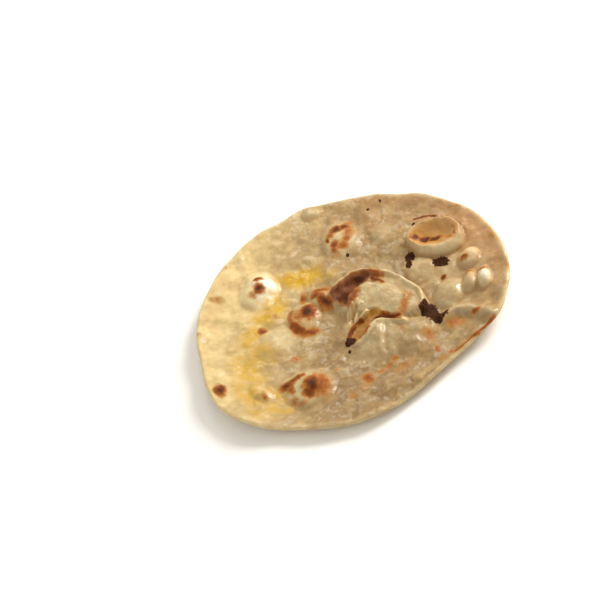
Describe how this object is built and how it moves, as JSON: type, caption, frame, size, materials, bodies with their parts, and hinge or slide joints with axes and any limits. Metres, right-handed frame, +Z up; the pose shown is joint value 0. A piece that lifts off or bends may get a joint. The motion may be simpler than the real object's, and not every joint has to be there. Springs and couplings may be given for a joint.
{
  "type": "chapati flatbread",
  "caption": "Round hand-rolled flatbread baked into a shallow dish, with closed blisters, a sunken blister, a torn blister and charred spots.",
  "frame": {"origin": "middle of the bread's bounding box in plan, on the plane it rests on", "axes": "+X along the longest extent, +Y away from the viewer of the picture, +Z up through the shortest extent"},
  "size_m": [0.1766, 0.166, 0.0146],
  "materials": {
    "baked_dough": "pale baked dough with a buttered shine, brown spots on the blisters and a few charred flakes"
  },
  "bodies": {
    "root": {"flatbread": "baked_dough"}
  },
  "joints": []
}
